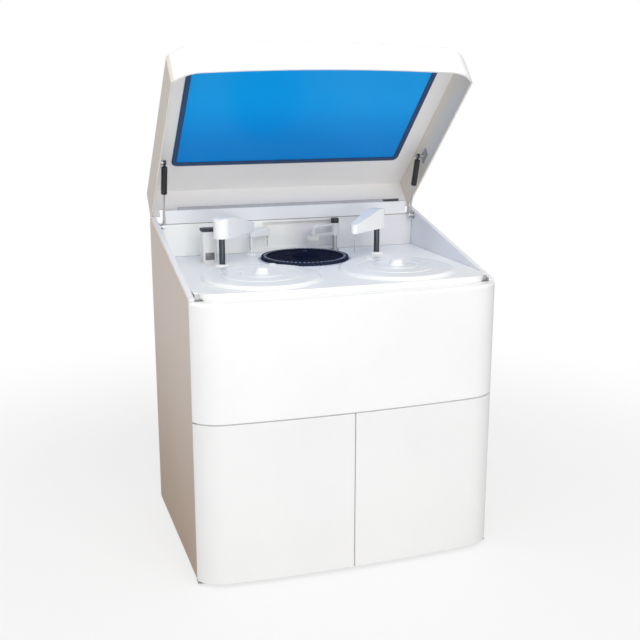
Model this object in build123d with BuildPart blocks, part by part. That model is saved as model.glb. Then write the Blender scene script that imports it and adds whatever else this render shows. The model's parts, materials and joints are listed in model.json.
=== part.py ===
from build123d import *
import os
from math import acos, asin, atan2, cos, degrees, hypot, radians, sin, tan

# Floor-standing chemistry analyser: a cabinet with a bowed front and two doors, a worktop with
# two covered carousels and a reaction ring, and a tray-shaped lid on gas springs, held open.
# Millimetres, +Z up, the front faces -Y. Heights are above the floor.

# Cabinet
width = 950
depth = 700
half_width = width / 2
front = -382.05  # y of the front plane, where the bow meets the rounded corners
rear = front + depth
bow = 15
bow_half = 392
corner_depth = 50
skin = 4
panel = 18
base_z = 12
door_top = 507
cover_base = 511
cover_top = 863
cheek_front = front + 54
cheek_low = 871.1
cheek_slope = 13
deck_z = 884
deck_thickness = 4
deck_inset = 36
deck_half = half_width - panel - 1
deck_rear = front + 655
inner_half = half_width - panel - 0.5

# Frame of square tube
tube = 25
post_x = 442.5
post_front = front + 78
post_rear = front + 677
frame_base = 22
mid_rail = 515
plate_rail = 755
plate_z = plate_rail + tube
plate_thickness = 4
post_top = deck_z - deck_thickness

# Door pivots
pivot_x = 462
pivot_y = front + 43
pivot_pin = 3
pivot_boss = 6
pivot_relief = 17.3
running_gap = 0.05

# Carousels and reaction ring
carousel_x = 218
carousel_y = front + 218
well_radius = 176
well_floor = 793
well_wall = 3
cover_radius = 182
rack_radius = 162
bottle_cap_radius = 150
ring_y = front + 482
ring_well = 150
cuvette_circle = 133
cuvette_count = 60
tube_count = 24
bottle_count = 15
spindle = 8

# Dispensing arms, each with the angle around the ring of the cuvette that it serves
sample_pivot = (-290, front + 435)
sample_home = 42
sample_station = 192
reagent_pivot = (262, front + 500)
reagent_home = 221.5
reagent_station = 336
arm_shaft = 9.5
arm_under = 975
arm_peak = 1040
arm_tip_top = 1004
probe_tip = 912
mixer_station = 132
mixer_heading = -18  # of the arm over its cuvette
mixer_home = 20
mixer_reach = 65
mixer_shaft = 6
wash_post_place = (150, front + 612)
wash_post_radius = 8

# Lid, in its own frame: x across, s from the hinge to the free end, t outward from the hinge
hinge_y = front + 696
hinge_z = 1008
lid_open = 42.8
lid_half = 470
lid_wall = 5.5
rim_t = 14
panel_t = 116
top_t = 121
lid_rear_s = -8
lid_side_s = 640
lid_corner_x = 388
lid_corner_s = 686
lid_end_s = 700
lid_round = 12
window_half = 395
window_near = 143.5
window_far = 622
knuckle = 7
hinge_pin = 3
hinge_x = 330

# Gas springs
stay_x = 440
stay_top_s = 225
stay_top_t = 60
stay_foot_y = front + 636
stay_foot_z = 990
stay_body = 108
stay_radius = 10
stay_rod = 3.5
stay_eye = 8
stay_pin = 4

lid_plane = Plane(
    origin=(0, hinge_y, hinge_z),
    x_dir=(1, 0, 0),
    z_dir=(0, sin(radians(lid_open)), cos(radians(lid_open))),
)

os.makedirs("parts", exist_ok=True)


def write(piece, label):
    """Label a finished piece and write it under the same name."""
    piece.part.label = label
    export_step(piece.part, f"parts/{label}.step")


def block(x, y, z, mode=Mode.ADD):
    """Box between two limits on each axis."""
    with Locations(((x[0] + x[1]) / 2, (y[0] + y[1]) / 2, (z[0] + z[1]) / 2)):
        Box(abs(x[1] - x[0]), abs(y[1] - y[0]), abs(z[1] - z[0]), mode=mode)


def drum(radius, place, z, mode=Mode.ADD):
    """Upright cylinder at a place on the plan, between two heights."""
    with Locations((place[0], place[1], (z[0] + z[1]) / 2)):
        Cylinder(radius, z[1] - z[0], mode=mode)


def cross_drum(radius, x, y, z, mode=Mode.ADD):
    """Cylinder along x between two limits."""
    with Locations(Location(((x[0] + x[1]) / 2, y, z), (0, 90, 0))):
        Cylinder(radius, abs(x[1] - x[0]), mode=mode)


def upright(place, heading=0):
    """Vertical plane through a place on the plan: local x along the heading, local y up."""
    turn = radians(heading)
    return Plane(
        origin=(place[0], place[1], 0),
        x_dir=(cos(turn), sin(turn), 0),
        z_dir=(sin(turn), -cos(turn), 0),
    )


def turning_axis(place):
    """Vertical axis through a place on the plan."""
    return Axis((place[0], place[1], 0), (0, 0, 1))


def cheek_top(y):
    """Height of the cheeks' sloping top edge."""
    return cheek_low + (y - cheek_front) * tan(radians(cheek_slope))


def lid_point(x, s, t):
    """Point of the open lid in the cabinet's frame."""
    return lid_plane.from_local_coords((x, -s, t))


def bowed_plan(half, bow_reach, swell, start, corner, inset, rear_y, limit):
    """Plan with a bowed front and arcs that wrap to the sides, inset and cut square at rear_y."""
    lean = asin(2 * bow_reach * swell / (bow_reach**2 + swell**2))
    wrap = 2 * atan2(corner, half - bow_reach) - lean
    shoulder = (bow_reach - inset * sin(lean), start + inset * cos(lean))
    side = (half - inset * sin(wrap), start + corner + inset * cos(wrap))
    back = max(rear_y, side[1] + 1)
    with BuildSketch() as plan:
        with BuildLine():
            middle = ThreePointArc(
                (-shoulder[0], shoulder[1]), (0, start - swell + inset), shoulder
            )
            right = TangentArc(shoulder, side, tangent=middle % 1)
            left = TangentArc(
                (-shoulder[0], shoulder[1]),
                (-side[0], side[1]),
                tangent=(middle % 0) * -1,
            )
            Polyline(right @ 1, (side[0], back), (-side[0], back), left @ 1)
        make_face()
        with Locations((0, rear_y - width)):
            Rectangle(2 * limit, 2 * width, mode=Mode.INTERSECT)
    return plan.sketch


def front_plan(inset, rear_y, limit=half_width):
    """Plan of the cabinet, inset from the outer skin of its bowed front."""
    return bowed_plan(
        half_width, bow_half, bow, front, corner_depth, inset, rear_y, limit
    )


def lid_outline(inset, rear_s, limit=lid_half):
    """Outline of the lid on its own plane, inset from its bowed free end."""
    return bowed_plan(
        lid_half,
        lid_corner_x,
        lid_end_s - lid_corner_s,
        -lid_corner_s,
        lid_corner_s - lid_side_s,
        inset,
        -rear_s,
        limit,
    )


def crossing(pivot, reach, centre, radius, side):
    """Place where an arm's tip crosses a circle, on one side of the line to its centre."""
    gap = hypot(centre[0] - pivot[0], centre[1] - pivot[1])
    spread = acos((gap**2 + reach**2 - radius**2) / (2 * gap * reach))
    heading = atan2(centre[1] - pivot[1], centre[0] - pivot[0]) + side * spread
    return arm_end(pivot, reach, degrees(heading))


def arm_end(pivot, reach, heading):
    """Plan position of an arm's tip."""
    turn = radians(heading)
    return (pivot[0] + reach * cos(turn), pivot[1] + reach * sin(turn))


# Stations: the arms' reaches and the mixer's pivot follow from the cuvettes that they serve.
ring_place = (0, ring_y)


def station(angle):
    """Plan position of the cuvette at an angle around the ring."""
    return arm_end(ring_place, cuvette_circle, angle)


def reach_between(pivot, place):
    return hypot(place[0] - pivot[0], place[1] - pivot[1])


sample_reach = reach_between(sample_pivot, station(sample_station))
reagent_reach = reach_between(reagent_pivot, station(reagent_station))
mixer_pivot = arm_end(station(mixer_station), mixer_reach, mixer_heading + 180)
sample_wash = arm_end(sample_pivot, sample_reach, sample_home)
reagent_wash = arm_end(reagent_pivot, reagent_reach, reagent_home)
mixer_tip = arm_end(mixer_pivot, mixer_reach, mixer_home)

# Frame: four posts tied by rails at the floor, under the worktop plate and behind the doors.
with BuildPart() as chassis_frame:
    with BuildSketch(Plane.XY.offset(frame_base)):
        for y in (post_front, post_rear):
            with Locations((-post_x, y), (post_x, y)):
                Rectangle(tube, tube)
    extrude(amount=post_top - frame_base)
    for z in (frame_base, plate_rail):
        with BuildSketch(Plane.XY.offset(z)):
            with Locations((0, (post_front + post_rear) / 2)):
                Rectangle(2 * post_x + tube, post_rear - post_front + tube)
                Rectangle(
                    2 * post_x - tube,
                    post_rear - post_front - tube,
                    mode=Mode.SUBTRACT,
                )
        extrude(amount=tube)
    for side in (-1, 1):
        block(
            (side * post_x - tube / 2, side * post_x + tube / 2),
            (post_front, post_rear),
            (mid_rail, mid_rail + tube),
        )
    block(
        (-post_x, post_x),
        (post_rear - tube / 2, post_rear + tube / 2),
        (mid_rail, mid_rail + tube),
    )
write(chassis_frame, "chassis_frame")

# Levelling feet: a round pad with a hexagon to turn it and a stem up into the post.
foot_pad = 6
foot_radius = 20
foot_stem = 6
foot_hexagon = 11
with BuildPart() as leveling_feet:
    for y in (post_front, post_rear):
        for x in (-post_x, post_x):
            drum(foot_radius, (x, y), (0, foot_pad))
            drum(foot_stem, (x, y), (foot_pad, frame_base))
            with BuildSketch(Plane.XY.offset(foot_pad)):
                with Locations((x, y)):
                    RegularPolygon(foot_hexagon, 6)
            extrude(amount=foot_pad)
    chamfer(leveling_feet.edges().filter_by(GeomType.CIRCLE).group_by(Axis.Z)[1], foot_pad / 2)
write(leveling_feet, "leveling_feet")

# Pans: the floor of the lower compartment, and the plate that carries the drives.
pan_thickness = 3
pan_z = frame_base + tube
pan_front = front + 62
post_clear = post_x - tube / 2 - 0.5
with BuildPart() as floor_pan:
    with BuildSketch(Plane.XY.offset(pan_z)):
        with Locations((0, (pan_front + post_rear) / 2)):
            Rectangle(2 * post_clear, post_rear - pan_front)
    extrude(amount=pan_thickness)
    block((-post_clear, post_clear), (pan_front, pan_front + 3), (pan_z - 15, pan_z))
write(floor_pan, "floor_pan")

motor_nose = spindle + 5
guide_tube = 13.5
guide_flange = 16
with BuildPart() as mid_pan:
    with BuildSketch(Plane.XY.offset(plate_z)):
        with Locations((0, (post_front + post_rear) / 2)):
            Rectangle(2 * post_clear, post_rear - post_front)
        for place in (
            (-carousel_x, carousel_y),
            (carousel_x, carousel_y),
            (0, ring_y),
        ):
            with Locations(place):
                Circle(motor_nose + running_gap, mode=Mode.SUBTRACT)
        for place in (sample_pivot, reagent_pivot):
            with Locations(place):
                Circle(guide_flange + 1, mode=Mode.SUBTRACT)
    extrude(amount=plate_thickness)
write(mid_pan, "mid_pan")

# Steel brackets and pins that the doors turn on.
bracket = 3
bracket_low = 7
bracket_face = post_front - tube / 2
pin_reach = 30
with BuildPart() as door_pivots:
    for side in (-1, 1):
        place = (side * pivot_x, pivot_y)
        shelf_top = bracket_low + bracket
        block((place[0] - 12, place[0] + 7), (pivot_y - 6, bracket_face), (bracket_low, shelf_top))
        block(
            (side * (post_x - tube / 2), side * (post_x + tube / 2)),
            (bracket_face - bracket, bracket_face),
            (bracket_low, 60),
        )
        drum(pivot_pin, place, (shelf_top, base_z + pin_reach))
        drum(pivot_pin, place, (door_top - pin_reach, cover_base))
write(door_pivots, "door_pivots")


# Side panels: thick moulded cheeks above the worktop, open pans below it.
def side_panel(side):
    with BuildPart() as piece:
        with BuildSketch(Plane.YZ.offset(side * (half_width - panel / 2))):
            with BuildLine():
                Polyline(
                    (cheek_front, base_z),
                    (rear, base_z),
                    (rear, cheek_top(rear)),
                    (cheek_front, cheek_low),
                    close=True,
                )
            make_face()
            fillet(vertices().group_by(Axis.Y)[-1].sort_by(Axis.Z)[0], 12)
            fillet(vertices().group_by(Axis.Y)[0].sort_by(Axis.Z)[-1], 12)
        extrude(amount=panel / 2, both=True)
        outer = piece.faces().sort_by(Axis.X)[-1 if side > 0 else 0]
        fillet(outer.edges(), 6)
        block(
            (side * (half_width - panel), side * (half_width - skin)),
            (cheek_front + 10, rear - 10),
            (base_z + 12, deck_z - 30),
            mode=Mode.SUBTRACT,
        )
        drum(
            pivot_relief,
            (side * pivot_x, pivot_y),
            (base_z - 1, (door_top + cover_base) / 2),
            mode=Mode.SUBTRACT,
        )
    return piece


write(side_panel(-1), "side_panel_left")
write(side_panel(1), "side_panel_right")

# Front cover: one bowed moulding that wraps both corners, with lips along its top and foot.
cover_round = 10
cover_foot_lip = 20
cover_top_lip = 44
with BuildPart() as front_cover:
    with BuildSketch(Plane.XY.offset(cover_base)):
        add(front_plan(0, front + corner_depth))
    extrude(amount=cover_top - cover_base)
    crown = front_cover.edges().filter_by(GeomType.CIRCLE).group_by(Axis.Z)[-1]
    fillet(crown, cover_round)
    with BuildSketch(Plane.XY.offset(cover_base + skin)):
        add(front_plan(skin, front + corner_depth + 5))
    extrude(amount=cover_top - cover_base - 2 * skin, mode=Mode.SUBTRACT)
    with BuildSketch(Plane.XY.offset(cover_base)):
        add(front_plan(cover_foot_lip, front + corner_depth + 5, pivot_x - 12))
    extrude(amount=skin, mode=Mode.SUBTRACT)
    with BuildSketch(Plane.XY.offset(cover_top - skin)):
        add(front_plan(cover_top_lip, front + corner_depth + 5))
    extrude(amount=skin, mode=Mode.SUBTRACT)
write(front_cover, "front_cover")

# Doors: bowed pans that meet at the middle and turn on pins at the outer corners.
door_gap = 1.5  # each door's distance from the middle
door_lip = 22
door_edge = 3
boss_height = 34


def door(side):
    with BuildPart() as piece:
        with BuildSketch(Plane.XY.offset(base_z)):
            add(front_plan(0, front + corner_depth))
            with Locations((side * (door_gap + half_width), 0)):
                Rectangle(2 * half_width, 2 * width, mode=Mode.INTERSECT)
        extrude(amount=door_top - base_z)
        middle = piece.faces().filter_by(Axis.X).sort_by(Axis.X)
        meeting = middle[0 if side > 0 else -1]
        fillet(meeting.edges().filter_by(Axis.Z).sort_by(Axis.Y)[0], door_edge)
        with BuildSketch(Plane.XY.offset(base_z + skin)):
            add(front_plan(skin, front + corner_depth + 5))
            with Locations((side * (door_gap + skin + half_width), 0)):
                Rectangle(2 * half_width, 2 * width, mode=Mode.INTERSECT)
        extrude(amount=door_top - base_z - 2 * skin, mode=Mode.SUBTRACT)
        with BuildSketch(Plane.XY.offset(base_z)):
            add(front_plan(door_lip, front + corner_depth + 5))
        extrude(amount=door_top - base_z, mode=Mode.SUBTRACT)
        place = (side * pivot_x, pivot_y)
        bosses = ((base_z, base_z + boss_height), (door_top - boss_height, door_top))
        for z in bosses:
            drum(pivot_boss, place, z)
        for z in bosses:
            drum(pivot_pin + running_gap, place, z, mode=Mode.SUBTRACT)
    return piece


write(door(-1), "door_left")
write(door(1), "door_right")

# Rear panel with two banks of louvre slots.
panel_front = rear - 6
panel_back = rear - 3
panel_low = 30
panel_high = 992
vent_x, vent_z = 220, 700
vent_length, vent_height = 150, 6
vent_pitch = 14
vent_rows = 9
inlet_x, inlet_z = 330, 140
inlet_half, inlet_rise = 25, 13
with BuildPart() as rear_panel:
    with BuildSketch(Plane.XZ.offset(-panel_back)):
        with Locations((0, (panel_low + panel_high) / 2)):
            Rectangle(2 * inner_half, panel_high - panel_low)
        with Locations((-vent_x, vent_z), (vent_x, vent_z)):
            with GridLocations(0, vent_pitch, 1, vent_rows):
                Rectangle(vent_length, vent_height, mode=Mode.SUBTRACT)
        with Locations((inlet_x, inlet_z)):
            Rectangle(2 * inlet_half + 1, 2 * inlet_rise + 1, mode=Mode.SUBTRACT)
    extrude(amount=panel_back - panel_front)
write(rear_panel, "rear_panel")

# Worktop: a plate with a hole for the bath, a skirt behind the cover, and two round wells that
# reach up through the plate, each clamped under it by its flange.
deck_guide_hole = 14
deck_well_hole = 7.2
well_outer = well_radius + well_wall
well_flange = 183
flange_top = deck_z - deck_thickness - running_gap
with BuildPart() as deck_plate:
    with BuildSketch(Plane.XY.offset(deck_z - deck_thickness)):
        add(front_plan(deck_inset, deck_rear - 0.5, deck_half))
        with Locations((0, (cheek_front + 16 + deck_rear) / 2)):
            Rectangle(2 * deck_half, deck_rear - cheek_front - 17)
    extrude(amount=deck_thickness)
    with BuildSketch(Plane.XY.offset(flange_top)):
        add(front_plan(deck_inset, front + 64, deck_half))
        add(front_plan(deck_inset + 4, front + 90, deck_half), mode=Mode.SUBTRACT)
    extrude(amount=cover_top + 3 - flange_top)
    for x in (-carousel_x, carousel_x):
        place = (x, carousel_y)
        drum(well_outer + 0.2, place, (deck_z - deck_thickness, deck_z), mode=Mode.SUBTRACT)
        drum(well_outer, place, (well_floor - 3, deck_z))
        drum(well_flange, place, (flange_top - well_wall, flange_top))
        drum(well_radius, place, (well_floor, deck_z), mode=Mode.SUBTRACT)
        drum(spindle + 4, place, (well_floor - 3, deck_z), mode=Mode.SUBTRACT)
    drum(
        ring_well + 0.2,
        (0, ring_y),
        (deck_z - deck_thickness, deck_z),
        mode=Mode.SUBTRACT,
    )
    for place in (sample_pivot, reagent_pivot, mixer_pivot):
        drum(
            deck_guide_hole,
            place,
            (deck_z - deck_thickness, deck_z),
            mode=Mode.SUBTRACT,
        )
    for place in (sample_wash, reagent_wash, mixer_tip):
        drum(deck_well_hole, place, (deck_z - deck_thickness, deck_z), mode=Mode.SUBTRACT)
    lip = deck_plate.edges().filter_by(GeomType.CIRCLE).group_by(Axis.Z)[-1]
    chamfer([edge for edge in lip if abs(edge.radius - well_radius) < 0.1], 1.5)
write(deck_plate, "deck_plate")

# Wall behind the worktop, with a shallow recess, and the rounded ledge that caps it.
recess = (-95, 165)
wall_top = 994
with BuildPart() as rear_housing:
    block((-deck_half, deck_half), (deck_rear, panel_front - 0.5), (deck_z + 0.5, wall_top))
    front_edges = rear_housing.edges().filter_by(Axis.X).sort_by(Axis.Z)[-2:]
    fillet(front_edges.sort_by(Axis.Y)[0], 4)
    block(
        (-deck_half + 5, deck_half - 5),
        (deck_rear + 6, panel_front),
        (deck_z, wall_top - 4),
        mode=Mode.SUBTRACT,
    )
    block(
        (recess[0] - 5, recess[1] + 5),
        (deck_rear + 5, deck_rear + 18),
        (deck_z + 6, wall_top - 3),
    )
    block(
        recess,
        (deck_rear - 1, deck_rear + 12),
        (deck_z + 12, wall_top - 9),
        mode=Mode.SUBTRACT,
    )
write(rear_housing, "rear_housing")

ledge_half = 430
ledge_top = 1040
with BuildPart() as rear_ledge:
    with BuildSketch(Plane.YZ.offset(-ledge_half)):
        with BuildLine():
            Polyline(
                (front + 652, wall_top + 2),
                (front + 682, wall_top + 2),
                (front + 682, ledge_top),
                (front + 652, ledge_top),
                close=True,
            )
        make_face()
        fillet(vertices().group_by(Axis.Z)[-1].sort_by(Axis.Y)[0], 14)
        fillet(vertices().group_by(Axis.Z)[-1].sort_by(Axis.Y)[-1], 8)
    extrude(amount=2 * ledge_half)
    ends = rear_ledge.faces().filter_by(Axis.X)
    fillet(ends.edges().filter_by(GeomType.CIRCLE), 3)
    block(
        (-ledge_half + 6, ledge_half - 6),
        (front + 664, front + 681),
        (wall_top, wall_top + 3),
    )
write(rear_ledge, "rear_ledge")

# Fixed halves of the lid's hinges, each with its pin.
leaf = 3
leaf_half = 30
knuckle_split = 10
with BuildPart() as lid_hinge_bases:
    for x in (-hinge_x, hinge_x):
        block((x - leaf_half, x + leaf_half), (panel_back, panel_back + leaf), (944, wall_top))
        for low, high in ((-leaf_half, -knuckle_split), (knuckle_split, leaf_half)):
            block(
                (x + low, x + high),
                (panel_back, panel_back + leaf),
                (wall_top - 1, hinge_z - 2),
            )
            cross_drum(knuckle, (x + low, x + high), hinge_y, hinge_z)
        cross_drum(hinge_pin, (x - leaf_half, x + leaf_half), hinge_y, hinge_z)
write(lid_hinge_bases, "lid_hinge_bases")

# Bosses on the cheeks that the gas springs stand against.
with BuildPart() as stay_brackets:
    for side in (-1, 1):
        cheek = side * (half_width - panel)
        cross_drum(12, (cheek, cheek - side * 3), stay_foot_y, stay_foot_z)
        cross_drum(7, (cheek, side * (stay_x + 4.5)), stay_foot_y, stay_foot_z)
write(stay_brackets, "stay_brackets")

# Rear services: the mains inlet with its rocker switch beside it, and the fluid ports.
rocker_x = inlet_x + 16
rocker_half = 6.5
rocker_pin = 1.5
with BuildPart() as mains_inlet:
    block((inlet_x - 34, inlet_x + 34), (panel_back, panel_back + 3), (inlet_z - 16, inlet_z + 16))
    block(
        (inlet_x - inlet_half, inlet_x + inlet_half),
        (panel_back - 24, panel_back),
        (inlet_z - inlet_rise, inlet_z + inlet_rise),
    )
    block(
        (inlet_x - 23, inlet_x + 3),
        (panel_back - 16, panel_back + 4),
        (inlet_z - 9, inlet_z + 9),
        mode=Mode.SUBTRACT,
    )
    for x, z in ((-17, -2), (-10, 2), (-3, -2)):
        block(
            (inlet_x + x - 1, inlet_x + x + 1),
            (panel_back - 17, panel_back - 3),
            (inlet_z + z - 2, inlet_z + z + 2),
        )
    block(
        (rocker_x - 7, rocker_x + 7),
        (panel_back - 14, panel_back + 4),
        (inlet_z - 11, inlet_z + 11),
        mode=Mode.SUBTRACT,
    )
    cross_drum(
        rocker_pin + running_gap,
        (rocker_x - 8, rocker_x + 8),
        panel_back - 2,
        inlet_z,
        mode=Mode.SUBTRACT,
    )
write(mains_inlet, "mains_inlet")

with BuildPart() as power_rocker:
    with BuildSketch(Plane.YZ.offset(rocker_x - rocker_half)):
        with BuildLine():
            Polyline(
                (panel_back - 8, inlet_z - 8.5),
                (panel_back - 8, inlet_z + 8.5),
                (panel_back + 1, inlet_z + 9),
                (panel_back + 3, inlet_z),
                (panel_back + 5, inlet_z - 9),
                close=True,
            )
        make_face()
    extrude(amount=2 * rocker_half)
    cross_drum(rocker_pin, (rocker_x - 7.8, rocker_x + 7.8), panel_back - 2, inlet_z)
write(power_rocker, "power_rocker")

port_z = 200
with BuildPart() as fluid_ports:
    for x in (-360, -330, -300):
        with BuildSketch(upright((x, panel_back))):
            with BuildLine():
                Polyline(
                    (0, 0), (12, 0), (12, 4), (7, 4), (7, 18), (8.5, 18), (5.5, 26), (0, 26), close=True
                )
            make_face()
        revolve(axis=turning_axis((x, panel_back)))
fluid_ports.part = Pos(0, panel_back, port_z) * Rot(-90, 0, 0) * Pos(0, -panel_back, 0) * fluid_ports.part
write(fluid_ports, "fluid_ports")

# Drives under the plate: each motor's nose takes the foot of a spindle.
motor_half = 28.5
motor_drop = 76
nose_height = 6
spindle_grip = 20
with BuildPart() as drive_motors:
    for place in ((-carousel_x, carousel_y), (carousel_x, carousel_y), (0, ring_y)):
        with BuildSketch(Plane.XY.offset(plate_z)):
            with Locations(place):
                Rectangle(2 * motor_half, 2 * motor_half)
        extrude(amount=-motor_drop)
        drum(motor_nose, place, (plate_z - 1, plate_z + nose_height))
        drum(
            spindle + running_gap,
            place,
            (plate_z - spindle_grip - 2, plate_z + nose_height),
            mode=Mode.SUBTRACT,
        )
    chamfer(drive_motors.edges().filter_by(Axis.Z).group_by(SortBy.LENGTH)[-1], 4)
write(drive_motors, "drive_motors")

# Bath: the ring trough that the cuvettes run in.
bath_flange = 155
bath_floor = 850
with BuildPart() as reaction_bath:
    with BuildSketch(upright((0, ring_y))):
        with BuildLine():
            Polyline(
                (118, bath_floor - 3),
                (ring_well, bath_floor - 3),
                (ring_well, deck_z),
                (bath_flange, deck_z),
                (bath_flange, deck_z + 3),
                (ring_well - 3, deck_z + 3),
                (ring_well - 3, bath_floor),
                (121, bath_floor),
                (121, deck_z - 4),
                (118, deck_z - 4),
                close=True,
            )
        make_face()
        chamfer(vertices().group_by(Axis.Y)[-1].sort_by(Axis.X)[-1], 1.5)
    revolve(axis=turning_axis((0, ring_y)))
write(reaction_bath, "reaction_bath")

# Guides under the worktop for the arm shafts.
guide_low = 720
mixer_guide_low = 810
with BuildPart() as arm_guides:
    for place in (sample_pivot, reagent_pivot):
        drum(guide_tube, place, (guide_low, deck_z - 1))
        drum(guide_flange, place, (guide_low, guide_low + 4))
        drum(arm_shaft + running_gap, place, (guide_low, deck_z), mode=Mode.SUBTRACT)
    drum(guide_tube, mixer_pivot, (mixer_guide_low, deck_z - 1))
    drum(mixer_shaft + running_gap, mixer_pivot, (mixer_guide_low, deck_z), mode=Mode.SUBTRACT)
write(arm_guides, "arm_guides")

# Wells that rinse the probes and the paddle at their home places.
well_tube = 7
well_rim = 8.5
well_bore = 4.5
well_foot = 850
with BuildPart() as wash_wells:
    for place in (sample_wash, reagent_wash, mixer_tip):
        drum(well_tube, place, (well_foot, deck_z + 1))
        drum(well_rim, place, (deck_z, deck_z + 2.5))
        drum(well_bore, place, (well_foot + 3, deck_z + 3), mode=Mode.SUBTRACT)
write(wash_wells, "wash_wells")

with BuildPart() as wash_post:
    drum(wash_post_radius, wash_post_place, (deck_z, 990))
    drum(15, wash_post_place, (deck_z, deck_z + 5))
    fillet(wash_post.edges().group_by(Axis.Z)[-1], 3)
write(wash_post, "wash_post")

reader_x = -314
reader_y = front + 526
reader_height = 106
with BuildPart() as barcode_reader:
    with BuildSketch(Plane.XY.offset(deck_z)):
        with Locations((reader_x, reader_y)):
            RectangleRounded(46, 40, 6)
    extrude(amount=reader_height)
    fillet(barcode_reader.faces().sort_by(Axis.Z)[-1].edges(), 4)
    block(
        (reader_x - 15, reader_x + 15),
        (reader_y - 21, reader_y - 17),
        (deck_z + 10, deck_z + 34),
        mode=Mode.SUBTRACT,
    )
write(barcode_reader, "barcode_reader")

# Lower compartment: power supply, a pair of syringe pumps and the system bottles.
floor_top = pan_z + pan_thickness
with BuildPart() as power_supply:
    block((-400, -210), (front + 330, front + 640), (floor_top, floor_top + 150))
    fillet(power_supply.edges().filter_by(Axis.Z), 3)
    for row in range(6):
        z = floor_top + 40 + row * 14
        block((-370, -240), (front + 329, front + 333), (z, z + 6), mode=Mode.SUBTRACT)
write(power_supply, "power_supply")

pump_y = front + 560
pump_base = 330
pump_places = ((-60, pump_y), (60, pump_y))
syringe = 9
plunger = 5
with BuildPart() as syringe_pumps:
    block((-110, 110), (pump_y + 18, pump_y + 40), (floor_top, pump_base + 170))
    for place in pump_places:
        block((place[0] - 16, place[0] + 16), (pump_y - 16, pump_y + 19), (pump_base, pump_base + 14))
        drum(syringe, place, (pump_base + 13, pump_base + 130))
        block(
            (place[0] - 16, place[0] + 16),
            (pump_y - 16, pump_y + 19),
            (pump_base + 129, pump_base + 150),
        )
        drum(plunger + running_gap, place, (pump_base - 1, pump_base + 120), mode=Mode.SUBTRACT)
write(syringe_pumps, "syringe_pumps")


def syringe_plunger(place):
    with BuildPart() as piece:
        drum(plunger, place, (pump_base - 46, pump_base + 60))
        drum(13, place, (pump_base - 54, pump_base - 46))
        chamfer(piece.edges().group_by(Axis.Z)[0], 1.5)
    return piece


write(syringe_plunger(pump_places[0]), "sample_plunger")
write(syringe_plunger(pump_places[1]), "reagent_plunger")

with BuildPart() as fluid_bottles:
    for x in (170, 270, 370):
        place = (x, front + 300)
        with BuildSketch(upright(place)):
            with BuildLine():
                Polyline(
                    (0, floor_top),
                    (42, floor_top),
                    (42, floor_top + 170),
                    (16, floor_top + 200),
                    (16, floor_top + 206),
                    (20, floor_top + 206),
                    (20, floor_top + 226),
                    (0, floor_top + 226),
                    close=True,
                )
            make_face()
        revolve(axis=turning_axis(place))
write(fluid_bottles, "fluid_bottles")


# Carousels: a spindle and two discs that hold the racks, under a lift-off cover.
hub_radius, hub_top = 22, 883
disc_radius, disc_low, disc_top = 172, 800, 804
rack_low = 860


def carousel(place, count, circle, radius, rim):
    """Rotor with a ring of round pockets in its upper disc."""
    with BuildPart() as piece:
        drum(spindle, place, (plate_z - spindle_grip, hub_top))
        drum(hub_radius, place, (disc_low, hub_top))
        drum(disc_radius, place, (disc_low, disc_top))
        drum(rim, place, (rack_low, rack_low + 3))
        with BuildSketch(Plane.XY.offset(rack_low - 1)):
            with Locations(place):
                with PolarLocations(circle, count):
                    Circle(radius)
        extrude(amount=5, mode=Mode.SUBTRACT)
    return piece


def carousel_cover(place, port):
    """Stepped cover with a centre knob and a port that the probe reaches through."""
    with BuildPart() as piece:
        with BuildSketch(upright(place)):
            with BuildLine():
                Polyline(
                    (0, 893),
                    (60, 893),
                    (172, 889),
                    (cover_radius - 5, deck_z),
                    (cover_radius, deck_z),
                    (cover_radius, deck_z + 3),
                    (174, 894),
                    (126, 897),
                    (124, 895.5),
                    (120, 895.5),
                    (118, 897.5),
                    (72, 899.5),
                    (70, 898),
                    (66, 898),
                    (64, 900),
                    (24, 900),
                    (19, 904),
                    (18, 914),
                    (14, 917),
                    (0, 917),
                    close=True,
                )
            make_face()
        revolve(axis=turning_axis(place))
        drum(port_radius, port, (deck_z, 905), mode=Mode.SUBTRACT)
    return piece


sample_place = (-carousel_x, carousel_y)
reagent_place = (carousel_x, carousel_y)
sample_port = crossing(sample_pivot, sample_reach, sample_place, rack_radius, 1)
reagent_port = crossing(
    reagent_pivot, reagent_reach, reagent_place, bottle_cap_radius, -1
)
tube_radius, tube_top = 6.4, 880
port_radius = 8
write(carousel(sample_place, tube_count, rack_radius, tube_radius + 0.2, disc_radius), "sample_rotor")
write(carousel(reagent_place, bottle_count, 80, 12, 100), "reagent_rotor")
write(carousel_cover(sample_place, sample_port), "sample_cover")
write(carousel_cover(reagent_place, reagent_port), "reagent_cover")

with BuildPart() as sample_tubes:
    with Locations(sample_place):
        with PolarLocations(rack_radius, tube_count):
            with Locations((0, 0, (disc_top + tube_top) / 2)):
                Cylinder(tube_radius, tube_top - disc_top)
write(sample_tubes, "sample_tubes")

# Reagent bottles: wedges around the rotor's rim, on its lower disc.
bottle_height = 55
with BuildPart() as reagent_bottles:
    with BuildSketch(Plane.XY.offset(disc_top)):
        with Locations(reagent_place):
            with PolarLocations(0, bottle_count):
                Polygon((104, -19), (170, -33), (170, 33), (104, 19), align=None)
    extrude(amount=bottle_height)
    with BuildSketch(Plane.XY.offset(disc_top + bottle_height - 1)):
        with Locations(reagent_place):
            with PolarLocations(bottle_cap_radius, bottle_count):
                Circle(9)
    extrude(amount=18)
write(reagent_bottles, "reagent_bottles")


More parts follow.
